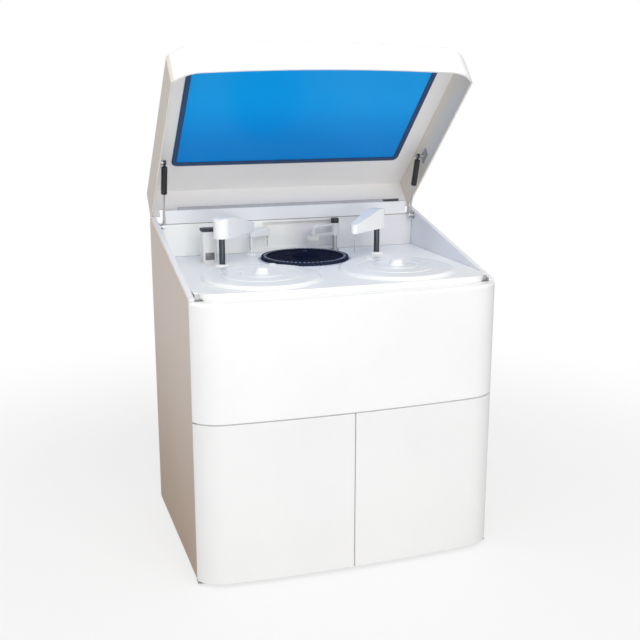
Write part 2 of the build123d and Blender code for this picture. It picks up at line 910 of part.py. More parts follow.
# Reaction ring: a dark rotor with a domed hub and a ring of square pockets, one per cuvette.
rotor_top = 896
cuvette_depth = 8
cuvette_width = 7.2
with BuildPart() as reaction_rotor:
    with BuildSketch(upright(ring_place)):
        with BuildLine():
            Polyline(
                (0, plate_z - spindle_grip),
                (spindle, plate_z - spindle_grip),
                (spindle, 872),
                (hub_radius, 872),
                (hub_radius, rotor_top - 6),
                (144, rotor_top - 6),
                (144, rotor_top),
                (122, rotor_top),
                (120, rotor_top - 2),
                (44, rotor_top - 2),
                (38, rotor_top + 4),
                (12, rotor_top + 12),
                (0, rotor_top + 12),
                close=True,
            )
        make_face()
    revolve(axis=turning_axis(ring_place))
    with BuildSketch(Plane.XY.offset(rotor_top - 7)):
        with Locations(ring_place):
            with PolarLocations(cuvette_circle, cuvette_count):
                Rectangle(cuvette_depth + 0.3, cuvette_width + 0.3)
    extrude(amount=8, mode=Mode.SUBTRACT)
write(reaction_rotor, "reaction_rotor")

with BuildPart() as cuvettes:
    with BuildSketch(Plane.XY.offset(864)):
        with Locations(ring_place):
            with PolarLocations(cuvette_circle, cuvette_count):
                Rectangle(cuvette_depth, cuvette_width)
    extrude(amount=rotor_top + 1 - 864)
    with BuildSketch(Plane.XY.offset(866)):
        with Locations(ring_place):
            with PolarLocations(cuvette_circle, cuvette_count):
                Rectangle(5, 3.8)
    extrude(amount=rotor_top + 2 - 866, mode=Mode.SUBTRACT)
write(cuvettes, "cuvettes")


# Dispensing arms: a collar that turns on the worktop, a shaft that rises through it and a
# tapered cover that carries the probe over the ring, the racks and the wash well.
def arm_collar(place, radius, bore):
    with BuildPart() as piece:
        drum(radius, place, (deck_z + 0.3, deck_z + 8))
        chamfer(piece.edges().group_by(Axis.Z)[-1], 2.5)
        drum(bore + running_gap, place, (deck_z, deck_z + 9), mode=Mode.SUBTRACT)
    return piece


def arm_rod(place):
    with BuildPart() as piece:
        drum(arm_shaft, place, (728, arm_under + 26))
    return piece


def arm_cover(place, heading, reach):
    tail = 26
    tip = 13
    plan = Plane(origin=(place[0], place[1], arm_under), x_dir=upright(place, heading).x_dir)
    with BuildPart() as piece:
        with BuildSketch(plan):
            Circle(tail)
            with Locations((reach, 0)):
                Circle(tip)
            make_hull()
        extrude(amount=arm_peak - arm_under)
        with BuildSketch(upright(place, heading)):
            with BuildLine():
                Polyline(
                    (-tail - 1, arm_under),
                    (-tail - 1, arm_peak),
                    (tail, arm_peak),
                    (reach + tip + 1, arm_tip_top),
                    (reach + tip + 1, arm_under),
                    close=True,
                )
            make_face()
            fillet(vertices().group_by(Axis.Y)[-1].sort_by(Axis.X)[0], 18)
        extrude(amount=tail + 1, both=True, mode=Mode.INTERSECT)
        drum(arm_shaft + running_gap, place, (arm_under - 1, arm_under + 26), mode=Mode.SUBTRACT)
    return piece


def arm_probe(tip_place):
    with BuildPart() as piece:
        with BuildSketch(upright(tip_place)):
            with BuildLine():
                Polyline(
                    (0, probe_tip),
                    (0.6, probe_tip),
                    (1.2, probe_tip + 5),
                    (1.2, arm_under - 26),
                    (3, arm_under - 22),
                    (3, arm_under),
                    (0, arm_under),
                    close=True,
                )
            make_face()
        revolve(axis=turning_axis(tip_place))
    return piece


for name, place, home, reach in (
    ("sample", sample_pivot, sample_home, sample_reach),
    ("reagent", reagent_pivot, reagent_home, reagent_reach),
):
    write(arm_collar(place, 24, arm_shaft), f"{name}_collar")
    write(arm_rod(place), f"{name}_shaft")
    write(arm_cover(place, home, reach), f"{name}_arm")
    write(arm_probe(arm_end(place, reach, home)), f"{name}_probe")

# Mixer: a short arm with a turning paddle.
mixer_under = 948
paddle_low = 910
blade = (0.5, 1.6)
write(arm_collar(mixer_pivot, 19, mixer_shaft), "mixer_collar")
with BuildPart() as mixer_arm:
    with BuildSketch(Plane.XY.offset(mixer_under)):
        with Locations(mixer_pivot):
            Circle(15)
        with Locations(mixer_tip):
            Circle(10)
        make_hull()
    extrude(amount=24)
    fillet(mixer_arm.edges().group_by(Axis.Z)[-1], 6)
    drum(mixer_shaft, mixer_pivot, (815, mixer_under))
write(mixer_arm, "mixer_arm")

with BuildPart() as mixer_paddle:
    drum(1.5, mixer_tip, (paddle_low + 12, mixer_under - 0.3))
    drum(4, mixer_tip, (mixer_under - 8, mixer_under - 0.3))
    block(
        (mixer_tip[0] - blade[0], mixer_tip[0] + blade[0]),
        (mixer_tip[1] - blade[1], mixer_tip[1] + blade[1]),
        (paddle_low, paddle_low + 13),
    )
write(mixer_paddle, "mixer_paddle")

# Wash station: a carriage on a post, and a head with nozzles over three cuvettes.
carriage_low = 938
head_angle = 60
cuvette_pitch = 360 / cuvette_count
head_place = arm_end(ring_place, cuvette_circle, head_angle)
head_heading = degrees(
    atan2(wash_post_place[1] - head_place[1], wash_post_place[0] - head_place[0])
)
head_low = 926
with BuildPart() as wash_carriage:
    drum(15, wash_post_place, (carriage_low, carriage_low + 44))
    fillet(wash_carriage.edges().group_by(Axis.Z)[-1], 5)
    with BuildSketch(Plane.XY.offset(carriage_low + 2)):
        with Locations(wash_post_place):
            Circle(11)
        with Locations(head_place):
            Circle(9)
        make_hull()
    extrude(amount=10)
    drum(
        wash_post_radius + running_gap,
        wash_post_place,
        (carriage_low - 1, carriage_low + 45),
        mode=Mode.SUBTRACT,
    )
write(wash_carriage, "wash_carriage")

with BuildPart() as wash_head:
    with BuildSketch(Plane.XY.offset(head_low)):
        for step in (-1, 1):
            with Locations(arm_end(ring_place, cuvette_circle, head_angle + step * cuvette_pitch)):
                Circle(6)
        make_hull()
    extrude(amount=carriage_low + 2 - head_low)
    for step in (-1, 0, 1):
        nozzle = arm_end(ring_place, cuvette_circle, head_angle + step * cuvette_pitch)
        drum(1.2, nozzle, (900, head_low))
    with BuildSketch(Plane.XY.offset(carriage_low + 12)):
        with Locations(head_place):
            Circle(8)
    extrude(amount=4)
    hose_plane = upright(head_place, head_heading)
    for offset in (-4, 4):
        with BuildLine(hose_plane.offset(offset)) as route:
            FilletPolyline(
                (0, carriage_low + 13), (0, carriage_low + 36), (69.7, carriage_low + 36), radius=18
            )
        with BuildSketch(Plane(origin=route.line @ 0, z_dir=(0, 0, 1))):
            Circle(3)
        sweep(path=route.line)
write(wash_head, "wash_head")


# Lid: a deep tray with rounded outer edges and an opening for the window.
def lid_block(x, s, t, mode=Mode.ADD):
    """Box between limits in the lid's own frame."""
    with BuildSketch(lid_plane.offset(t[0]), mode=Mode.PRIVATE) as footprint:
        with Locations(((x[0] + x[1]) / 2, -(s[0] + s[1]) / 2)):
            Rectangle(abs(x[1] - x[0]), abs(s[1] - s[0]))
    extrude(footprint.sketch, amount=t[1] - t[0], mode=mode)


notch_half = 438
notch_t = 42
window_middle = (window_near + window_far) / 2
window_length = window_far - window_near


def window_outline(margin):
    """Window opening on the lid's own plane, grown by a margin."""
    with BuildSketch() as plan:
        with Locations((0, -window_middle)):
            RectangleRounded(
                2 * (window_half + margin), window_length + 2 * margin, 14 + margin
            )
    return plan.sketch


with BuildPart() as lid_shell:
    with BuildSketch(lid_plane.offset(rim_t)):
        add(lid_outline(0, lid_rear_s))
    extrude(amount=top_t - rim_t)
    outward = Axis(lid_plane.origin, lid_plane.z_dir)
    fillet(lid_shell.faces().sort_by(outward)[-1].edges(), lid_round)
    with BuildSketch(lid_plane.offset(rim_t)):
        add(lid_outline(lid_wall, lid_rear_s + 5, lid_half - lid_wall))
    extrude(amount=panel_t - rim_t, mode=Mode.SUBTRACT)
    with BuildSketch(lid_plane.offset(panel_t)):
        add(window_outline(0))
    extrude(amount=top_t - panel_t, mode=Mode.SUBTRACT)
    lid_block((-notch_half, notch_half), (-9, -2), (rim_t - 1, notch_t), mode=Mode.SUBTRACT)
write(lid_shell, "lid_shell")

# Window pane and the rubber profile that grips it and the lid's panel.
with BuildPart() as lid_window:
    with BuildSketch(lid_plane.offset(panel_t)):
        add(window_outline(-4))
    extrude(amount=4)
write(lid_window, "lid_window")

seal_lap = 7
with BuildPart() as window_seal:
    with BuildSketch(lid_plane.offset(panel_t - 3)):
        add(window_outline(seal_lap))
        add(window_outline(-4 - seal_lap + 2), mode=Mode.SUBTRACT)
    extrude(amount=3)
    with BuildSketch(lid_plane.offset(panel_t)):
        add(window_outline(0))
        add(window_outline(-4), mode=Mode.SUBTRACT)
    extrude(amount=top_t - panel_t)
    with BuildSketch(lid_plane.offset(top_t)):
        add(window_outline(seal_lap))
        add(window_outline(-4), mode=Mode.SUBTRACT)
    extrude(amount=1.5)
write(window_seal, "window_seal")

# Moving halves of the hinges, on the lid's rear wall.
with BuildPart() as lid_hinge_leaves:
    for x in (-hinge_x, hinge_x):
        lid_block((x - leaf_half, x + leaf_half), (lid_rear_s - leaf, lid_rear_s), (rim_t, 92))
        reach = knuckle_split - 0.4
        lid_block((x - reach, x + reach), (lid_rear_s - leaf, -4), (0, rim_t + 1))
        cross_drum(knuckle, (x - reach, x + reach), hinge_y, hinge_z)
        cross_drum(
            hinge_pin + running_gap,
            (x - leaf_half, x + leaf_half),
            hinge_y,
            hinge_z,
            mode=Mode.SUBTRACT,
        )
write(lid_hinge_leaves, "lid_hinge_leaves")

# Plates on the lid's side walls with the studs that the gas springs hang from.
with BuildPart() as stay_studs:
    for side in (-1, 1):
        wall = side * (lid_half - lid_wall)
        top = lid_point(0, stay_top_s, stay_top_t)
        lid_block(
            (wall, wall - side * 3),
            (stay_top_s - 24, stay_top_s + 24),
            (stay_top_t - 14, stay_top_t + 14),
        )
        cross_drum(7, (wall, side * (stay_x + 4.5)), top.Y, top.Z)
        cross_drum(stay_pin, (wall, side * (stay_x - 6)), top.Y, top.Z)
        cross_drum(6, (side * (stay_x - 4.5), side * (stay_x - 7)), top.Y, top.Z)
write(stay_studs, "stay_studs")


# Gas springs: a dark cylinder hung on the lid and a bright rod that stands at the cheek.
def stay_plane(side):
    top = lid_point(side * stay_x, stay_top_s, stay_top_t)
    foot = Vector(side * stay_x, stay_foot_y, stay_foot_z)
    return Plane(origin=top, x_dir=(1, 0, 0), z_dir=foot - top), (foot - top).length


def stay_cylinder(side):
    line, _ = stay_plane(side)
    with BuildPart() as piece:
        with BuildSketch(line.offset(14)):
            Circle(stay_radius)
        extrude(amount=stay_body - 14)
        chamfer(piece.edges().filter_by(GeomType.CIRCLE), 2)
        with BuildSketch(line.offset(stay_eye - 2)):
            Circle(3.4)
        extrude(amount=15 - stay_eye + 2)
        cross_drum(
            stay_eye, (side * stay_x - 4, side * stay_x + 4), line.origin.Y, line.origin.Z
        )
        cross_drum(
            stay_pin + running_gap,
            (side * stay_x - 5, side * stay_x + 5),
            line.origin.Y,
            line.origin.Z,
            mode=Mode.SUBTRACT,
        )
        with BuildSketch(line.offset(stay_body - 78)):
            Circle(stay_rod + running_gap)
        extrude(amount=80, mode=Mode.SUBTRACT)
    return piece


def stay_piston(side):
    line, length = stay_plane(side)
    with BuildPart() as piece:
        with BuildSketch(line.offset(stay_body - 24)):
            Circle(stay_rod)
        extrude(amount=length - stay_body + 24 - stay_rod)
        cross_drum(
            stay_eye, (side * stay_x - 4, side * stay_x + 4), stay_foot_y, stay_foot_z
        )
    return piece


for side, name in ((-1, "left"), (1, "right")):
    write(stay_cylinder(side), f"stay_cylinder_{name}")
    write(stay_piston(side), f"stay_rod_{name}")
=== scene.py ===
import json
import math

import bmesh
import bpy
from mathutils import Matrix, Vector


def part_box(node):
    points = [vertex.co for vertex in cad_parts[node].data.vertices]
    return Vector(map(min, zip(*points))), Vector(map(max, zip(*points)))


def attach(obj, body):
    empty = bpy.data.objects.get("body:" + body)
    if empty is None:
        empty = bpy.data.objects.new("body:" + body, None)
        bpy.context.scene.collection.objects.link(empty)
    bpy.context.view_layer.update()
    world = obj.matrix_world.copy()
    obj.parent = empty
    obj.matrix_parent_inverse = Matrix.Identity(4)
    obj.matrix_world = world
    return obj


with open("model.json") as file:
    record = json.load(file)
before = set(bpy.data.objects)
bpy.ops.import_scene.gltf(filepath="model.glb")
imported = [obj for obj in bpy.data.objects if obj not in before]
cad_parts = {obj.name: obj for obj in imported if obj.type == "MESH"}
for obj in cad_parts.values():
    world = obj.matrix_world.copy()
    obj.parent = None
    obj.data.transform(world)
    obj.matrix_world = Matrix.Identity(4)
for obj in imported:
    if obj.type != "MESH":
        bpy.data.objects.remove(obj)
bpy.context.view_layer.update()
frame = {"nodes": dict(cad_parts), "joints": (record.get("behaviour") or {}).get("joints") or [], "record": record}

# Studio: a plain pale floor that runs up into a backdrop, two broad lamps far in front, low
# and high, one above the worktop, a weak one from the left, and a dim even sky. The floor
# shows white to the camera and keeps the cabinet's shadow.
scene = bpy.context.scene
scene.view_settings.view_transform = "Standard"

bow = 0.015
front_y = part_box("front_cover")[0].y + bow
eye_side, eye_back, eye_height = -0.97185, 2.60965, 1.47115
yaw = math.radians(18.341)
pitch = math.radians(13.802)
sensor = 36
focal_pixels, frame_pixels = 990.17, 640
camera = bpy.data.objects.new("camera", bpy.data.cameras.new("camera"))
camera.location = (eye_side, front_y - eye_back, eye_height)
camera.rotation_euler = (math.pi / 2 - pitch, 0, -yaw)
camera.data.sensor_width = sensor
camera.data.lens = focal_pixels * sensor / frame_pixels
camera.data.clip_end = 60
scene.collection.objects.link(camera)
scene.camera = camera


def area_lamp(name, place, aim, size, power):
    """Oblong lamp at a place, turned towards a point."""
    lamp = bpy.data.lights.new(name, "AREA")
    lamp.shape = "RECTANGLE"
    lamp.size, lamp.size_y = size
    lamp.energy = power
    holder = bpy.data.objects.new(name, lamp)
    holder.location = place
    holder.rotation_euler = (Vector(aim) - Vector(place)).to_track_quat("-Z", "Y").to_euler()
    scene.collection.objects.link(holder)


area_lamp("low_lamp", (-0.3, -9.0, 0.8), (0, 0, 1.1), (5.0, 1.6), 122)
area_lamp("front_lamp", (0.1, -8.2, 4.4), (0, 0, 1.0), (4.6, 2.6), 146)
area_lamp("top_lamp", (0.0, -1.9, 3.7), (0, 0, 0.9), (3.0, 1.8), 54)
area_lamp("left_lamp", (-4.4, -0.6, 2.4), (0, 0, 0.7), (2.4, 2.4), 27)

sky_on_object = 0.38
world = bpy.data.worlds.new("studio")
world.use_nodes = True
scene.world = world
sky = world.node_tree
sky_path = sky.nodes.new("ShaderNodeLightPath")
sky_seen = sky.nodes.new("ShaderNodeMath")
sky_seen.operation = "MAXIMUM"
sky.links.new(sky_path.outputs["Is Camera Ray"], sky_seen.inputs[0])
sky.links.new(sky_path.outputs["Is Glossy Ray"], sky_seen.inputs[1])
sky_strength = sky.nodes.new("ShaderNodeMapRange")
sky_strength.inputs["To Min"].default_value = sky_on_object
sky_strength.inputs["To Max"].default_value = 1.0
sky.links.new(sky_seen.outputs[0], sky_strength.inputs["Value"])
sky.links.new(sky_strength.outputs[0], sky.nodes["Background"].inputs["Strength"])
sky.nodes["Background"].inputs["Color"].default_value = (1, 1, 1, 1)


# Floor and backdrop: pale paint on one sheet that bends up behind the cabinet. It shows white to
# the camera away from the cabinet, and grey enough near it to keep the shadow.
class Flow:
    """A shader value that can be written in ordinary arithmetic."""

    def __init__(self, finish, socket):
        self.finish = finish
        self.socket = socket

    def maths(self, operation, first, second=0.0):
        return self.finish.node(
            "ShaderNodeMath", {"operation": operation}, {0: first, 1: second}
        )

    def __add__(self, other):
        return self.maths("ADD", self, other)

    def __radd__(self, other):
        return self.maths("ADD", other, self)

    def __sub__(self, other):
        return self.maths("SUBTRACT", self, other)

    def __rsub__(self, other):
        return self.maths("SUBTRACT", other, self)

    def __mul__(self, other):
        return self.maths("MULTIPLY", self, other)

    def __rmul__(self, other):
        return self.maths("MULTIPLY", other, self)


class Finish:
    """A material, its principled shader, and the one method that adds nodes to it."""

    def __init__(self, name, **fixed):
        self.material = bpy.data.materials.new(name)
        self.material.use_nodes = True
        self.tree = self.material.node_tree
        self.shader = self.tree.nodes["Principled BSDF"]
        for socket, value in fixed.items():
            self.shader.inputs[socket.replace("_", " ")].default_value = value

    def node(self, kind, settings={}, inputs={}, output=0):
        made = self.tree.nodes.new(kind)
        for name, value in settings.items():
            setattr(made, name, value)
        for name, value in inputs.items():
            if isinstance(value, Flow):
                self.tree.links.new(value.socket, made.inputs[name])
            else:
                made.inputs[name].default_value = value
        return Flow(self, made.outputs[output])

    def vary(self, **sockets):
        """Feed values that change over the surface to the shader's sockets."""
        for name, value in sockets.items():
            self.tree.links.new(value.socket, self.shader.inputs[name.replace("_", " ")])

    def place(self):
        """Position on the object in metres."""
        return self.node("ShaderNodeTexCoord", output=3)

    def noise(self, scale, detail=2.0, stretch=(1, 1, 1)):
        """Noise from 0 to 1, with its scale per metre and a stretch along each axis."""
        moved = self.node(
            "ShaderNodeMapping", {}, {"Vector": self.place(), "Scale": stretch}
        )
        return self.node(
            "ShaderNodeTexNoise", {}, {"Vector": moved, "Scale": scale, "Detail": detail}
        )

    def between(self, low, high, factor):
        """Blend of two colours by a varying factor."""
        low, high = (c if isinstance(c, Flow) else (*c, 1) for c in (low, high))
        return self.node(
            "ShaderNodeMix", {"data_type": "RGBA"}, {0: factor, 6: low, 7: high}, 2
        )

    def band(self, value, low, high):
        """Smooth step of a value between two limits, from 0 to 1."""
        return self.node(
            "ShaderNodeMapRange",
            {"interpolation_type": "SMOOTHSTEP"},
            {"Value": value, "From Min": low, "From Max": high},
        )

    def size_of(self, value):
        """A value without its sign."""
        return self.node("ShaderNodeMath", {"operation": "ABSOLUTE"}, {0: value})

    def bump(self, height, depth, round_edge=0.0012):
        """Normal of a fine relief, over edges that are rounded a little."""
        rounded = self.node("ShaderNodeBevel", {"samples": 4}, {"Radius": round_edge})
        return self.node(
            "ShaderNodeBump",
            {},
            {"Height": height, "Distance": depth, "Strength": 1.0, "Normal": rounded},
        )

    def across(self, axis):
        """Distance along one axis of the object, in metres."""
        return self.node("ShaderNodeSeparateXYZ", {}, {0: self.place()}, "XYZ".index(axis))

    def edge_wear_and_highlight(self):
        """Mask that is high on outer edges, from the surface's own pointiness: rubbed edges on painted parts,
        painted highlight on the side panels and the reaction rotor.
        """
        sharp = self.node("ShaderNodeNewGeometry", output=7)
        return self.band(sharp, 0.52, 0.60)


floor_finish = Finish("floor_paint", Roughness=0.9)
floor_mottle = floor_finish.noise(3.0)
floor_finish.vary(
    Base_Color=floor_finish.between((0.82, 0.82, 0.82), (0.86, 0.86, 0.86), floor_mottle)
)
floor_path = floor_finish.node("ShaderNodeLightPath")
floor_glow = floor_finish.node("ShaderNodeEmission", {}, {"Color": (1, 1, 1, 1), "Strength": 1.0})
floor_reach = floor_finish.node(
    "ShaderNodeVectorMath", {"operation": "LENGTH"}, {0: floor_finish.place()}, 1
)
near_white = 0.72
floor_white = near_white + (1 - near_white) * floor_finish.band(floor_reach, 0.9, 2.6)
floor_seen = floor_finish.node(
    "ShaderNodeMixShader",
    {},
    {
        0: floor_path * floor_white,
        1: Flow(floor_finish, floor_finish.shader.outputs[0]),
        2: floor_glow,
    },
)
floor_finish.tree.links.new(
    floor_seen.socket, floor_finish.tree.nodes["Material Output"].inputs["Surface"]
)

floor_half = 14.0
backdrop_y = 7.0
bend = 2.0
sweep_mesh = bmesh.new()
backdrop_top = 9.0
bend_steps = 12
profile = [(-floor_half, 0.0), (backdrop_y - bend, 0.0)]
for step in range(1, bend_steps + 1):
    turn = step * math.pi / 2 / bend_steps
    profile.append(
        (backdrop_y - bend + bend * math.sin(turn), bend - bend * math.cos(turn))
    )
profile.append((backdrop_y, backdrop_top))
rows = [
    (sweep_mesh.verts.new((-floor_half, y, z)), sweep_mesh.verts.new((floor_half, y, z)))
    for y, z in profile
]
for low, high in zip(rows, rows[1:]):
    sweep_mesh.faces.new((low[0], low[1], high[1], high[0]))
backdrop_data = bpy.data.meshes.new("backdrop")
sweep_mesh.to_mesh(backdrop_data)
backdrop = bpy.data.objects.new("backdrop", backdrop_data)
for face in backdrop_data.polygons:
    face.use_smooth = True
backdrop_data.materials.append(floor_finish.material)
scene.collection.objects.link(backdrop)

# Front cover: one bowed moulding in white gloss plastic that wraps both corners of the
# cabinet. Handling has dulled it a little near its foot, and its paint has a fine ripple.
def moulded_white(name, colour, shade, gloss, tone=None):
    """White moulded plastic: faint mottle, a fine ripple, and painted shade where a tone is given."""
    finish = Finish(name, Roughness=gloss)
    finish.shader.inputs["Coat Weight"].default_value = 0.25
    mottle = finish.noise(2.2, 4)
    patch = finish.noise(9.0, 3, (1, 1, 0.4))
    grime = finish.band(finish.across("Z"), 0.30, 0.02) * patch
    body = finish.between(shade, colour, finish.band(mottle, 0.3, 0.6))
    # A given tone is painted shade: a darker tint laid over part of the surface.
    if tone:
        body = finish.between(body, *tone(finish))
    finish.vary(
        Base_Color=finish.between(body, (0.70, 0.67, 0.62), grime * 0.25),
        Roughness=gloss + (patch - 0.5) * 0.12 + grime * 0.15,
        Normal=finish.bump(finish.noise(260, 2), 0.00006),
    )
    return finish


def dress(node, finish):
    """Give a carried-over node its finish in every material slot."""
    thing = frame["nodes"][node]
    if not thing.data.materials:
        thing.data.materials.append(finish.material)
    for slot in thing.material_slots:
        slot.material = finish.material


cover_finish = moulded_white("cover_white", (0.93, 0.93, 0.925), (0.90, 0.90, 0.90), 0.34)
dress("front_cover", cover_finish)

bow_half = 0.392
bow_radius = (bow_half**2 + bow**2) / (2 * bow)
bow_lean = math.asin(bow_half / bow_radius)
corner_radius = 0.1079
route_steps = 24
wrap_steps = 8
corner_centre = (
    bow_half - corner_radius * math.sin(bow_lean),
    front_y + corner_radius * math.cos(bow_lean),
)


def front_route(inset, height, wrap):
    """Line along the cabinet's bowed front, inset from its skin, round both corners."""
    right = []
    for step in range(1, wrap_steps + 1):
        turn = bow_lean + math.radians(wrap) * step / wrap_steps
        reach = corner_radius - inset
        right.append(
            (
                corner_centre[0] + reach * math.sin(turn),
                corner_centre[1] - reach * math.cos(turn),
                height,
            )
        )
    middle = []
    for step in range(-route_steps, route_steps + 1):
        turn = bow_lean * step / route_steps
        reach = bow_radius - inset
        middle.append(
            (reach * math.sin(turn), front_y - bow + bow_radius - reach * math.cos(turn), height)
        )
    left = [(-x, y, z) for x, y, z in reversed(right)]
    return left + middle + right


# Bead of pale foam between the cover's top lip and the skirt of the worktop: it closes the
# gap, is glued to the lip and is squeezed a little.
MM = 0.001


def in_metres(points):
    """Points given in millimetres."""
    return [(first * MM, second * MM) for first, second in points]


def new_piece(name, mesh_made, finish, body, smooth_below=0.6):
    """Turn a bmesh into an object with a finish that rides on a body."""
    bmesh.ops.recalc_face_normals(mesh_made, faces=mesh_made.faces[:])
    data = bpy.data.meshes.new(name)
    mesh_made.to_mesh(data)
    mesh_made.free()
    data.polygons.foreach_set("use_smooth", [True] * len(data.polygons))
    data.set_sharp_from_angle(angle=smooth_below)
    data.materials.append(finish.material)
    piece = bpy.data.objects.new(name, data)
    scene.collection.objects.link(piece)
    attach(piece, body)
    return piece


def sweep_section(made, route, section):
    """Bar with a closed section of (aside, up) points swept along a level route."""
    rings = []
    for index, point in enumerate(route):
        ahead = route[min(index + 1, len(route) - 1)]
        behind = route[max(index - 1, 0)]
        run = (Vector(ahead) - Vector(behind)).normalized()
        aside = run.cross(Vector((0, 0, 1)))
        rings.append(
            [made.verts.new(Vector(point) + aside * a + Vector((0, 0, up))) for a, up in section]
        )
    for this, after in zip(rings, rings[1:]):
        for k in range(len(section)):
            made.faces.new((this[k - 1], this[k], after[k], after[k - 1]))
    made.faces.new(rings[0][::-1])
    made.faces.new(rings[-1])


def strip(name, route, section, finish, body):
    """One piece with a closed section swept along a route."""
    made = bmesh.new()
    sweep_section(made, route, section)
    return new_piece(name, made, finish, body)


bead_section = ((-1.6, 0.1), (1.6, 0.1), (1.9, 1.5), (1.6, 2.9), (-1.6, 2.9), (-1.9, 1.5))
bead_inset, bead_wrap = 0.0375, 40
bead_finish = moulded_white("bead_foam", (0.86, 0.86, 0.86), (0.80, 0.80, 0.80), 0.8)
strip(
    "cover_bead",
    front_route(bead_inset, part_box("front_cover")[1].z, bead_wrap),
    in_metres(bead_section),
    bead_finish,
    "cabinet",
)

# Doors: two bowed pans below the cover, in the same plastic but a shade greyer, with scuffs
# along their lower edge.
door_finish = moulded_white("door_white", (0.875, 0.875, 0.87), (0.85, 0.85, 0.85), 0.38)
dress("door_left", door_finish)
dress("door_right", door_finish)

# Door seals: a pale grey lip under the cover that the doors close against, and a narrow one on the left door's
# edge that fills the split; their grey is painted shade for the gaps round the doors. Both are extruded and glued
# in place.
def soft_rubber(name, low, high):
    """Matt extruded rubber with a little dust on it."""
    finish = Finish(name, Roughness=0.7)
    dust = finish.noise(80, 3)
    finish.vary(Base_Color=finish.between(low, high, dust), Roughness=0.6 + dust * 0.2)
    return finish


# Painted shade: the grey of these strips gives the gaps round the doors their soft shade line.
door_gap_shade_finish = soft_rubber("door_gap_shade_grey", (0.68, 0.67, 0.67), (0.78, 0.77, 0.77))
door_low, door_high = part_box("door_left")
head_section = ((-2.5, 0.4), (2.0, 0.4), (2.6, 1.4), (2.6, 3.9), (-2.5, 3.9))
head_inset, head_wrap = 0.0065, 47
strip(
    "door_head_shade_strip",
    front_route(head_inset, door_high.z, head_wrap),
    in_metres(head_section),
    door_gap_shade_finish,
    "cabinet",
)
split_plan = ((0.0, 5.5), (2.2, 5.5), (2.6, 6.6), (2.6, 14.0), (0.0, 14.0))
split_end = 0.002
split_made = bmesh.new()
split_rings = [
    [
        split_made.verts.new((door_high.x + x, front_y - bow + y, z))
        for x, y in in_metres(split_plan)
    ]
    for z in (door_low.z + split_end, door_high.z - split_end)
]
for k in range(len(split_plan)):
    split_made.faces.new(
        (split_rings[0][k - 1], split_rings[0][k], split_rings[1][k], split_rings[1][k - 1])
    )
split_made.faces.new(split_rings[0][::-1])
split_made.faces.new(split_rings[1])
new_piece("door_split_shade_strip", split_made, door_gap_shade_finish, "left_door")

# Side panels: thick moulded cheeks in a warm grey, with painted shade that darkens them towards the floor and a
# painted highlight that lightens their edges, and the fine grain of textured paint. Their inner faces, beside the
# worktop, are a cool pale grey.
side_finish = Finish("side_taupe", Roughness=0.55)
side_grain = side_finish.noise(900, 2)
side_cloud = side_finish.noise(3.0, 4)
# Painted highlight: the panels' edges are lightened to a pale pinkish white.
side_edge_highlight = side_finish.edge_wear_and_highlight()
# Painted shade: the warm grey darkens towards the floor.
side_shade_fade = side_finish.band(side_finish.across("Z"), 0.05, 0.85)
inner_start, inner_end = 0.4735, 0.4690
side_base = side_finish.between((0.50, 0.37, 0.28), (0.81, 0.71, 0.64), side_shade_fade)
side_mottled = side_finish.between(side_base, (0.78, 0.71, 0.65), side_cloud * 0.25)
side_out = side_finish.size_of(side_finish.across("X"))
side_inner = side_finish.band(side_out, inner_start, inner_end)
side_dressed = side_finish.between(side_mottled, (0.80, 0.815, 0.86), side_inner)
side_finish.vary(
    Base_Color=side_finish.between(side_dressed, (0.90, 0.875, 0.86), side_edge_highlight * 0.6),
    Roughness=0.5 + side_grain * 0.15,
    Normal=side_finish.bump(side_grain, 0.00012),
)
dress("side_panel_left", side_finish)
dress("side_panel_right", side_finish)

# Worktop: plate, skirt and wells in a cool satin white, with the grain of the tool that they
# were moulded in.
deck_finish = Finish("deck_white", Roughness=0.42)
deck_grain = deck_finish.noise(1200, 1)
deck_cloud = deck_finish.noise(5.0, 3)
deck_finish.vary(
    Base_Color=deck_finish.between((0.92, 0.915, 0.905), (0.95, 0.945, 0.935), deck_cloud),
    Roughness=0.38 + deck_grain * 0.1,
    Normal=deck_finish.bump(deck_grain, 0.00005),
)
dress("deck_plate", deck_finish)

# Wall and ledge behind the worktop: the wall is faintly green, with painted shade that greys it from its recess
# on, the ledge a brighter white.
wall_finish = moulded_white(
    "wall_white",
    (0.96, 0.96, 0.93),
    (0.93, 0.93, 0.90),
    0.45,
    # Painted shade: from its recess on, the wall is greyed as if in the shade of the lid.
    lambda wall: ((0.78, 0.765, 0.78), wall.band(wall.across("X"), -0.03, 0.05)),
)
ledge_finish = moulded_white("ledge_white", (0.90, 0.90, 0.91), (0.86, 0.86, 0.87), 0.35)
dress("rear_housing", wall_finish)
dress("rear_ledge", ledge_finish)

# Strip on the ledge: a grey half round rubber strip laid as painted shadow along the gap between the lid's rear
# wall and the ledge, with a small dark switch at its right end that feels the lid.
def round_section(half_width, rise, count=12, foot=0.0):
    """Half round section, flat at its foot."""
    return [
        (half_width * math.cos(k * math.pi / count), foot + rise * math.sin(k * math.pi / count))
        for k in range(count + 1)
    ]


ledge_low, ledge_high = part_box("rear_ledge")
shadow_strip_y = ledge_high.y - 0.0115
shadow_strip_left, shadow_strip_right, shadow_strip_steps = -0.385, 0.412, 8
shadow_strip_half, shadow_strip_rise, shadow_strip_sunk = 0.0045, 0.009, 0.0003
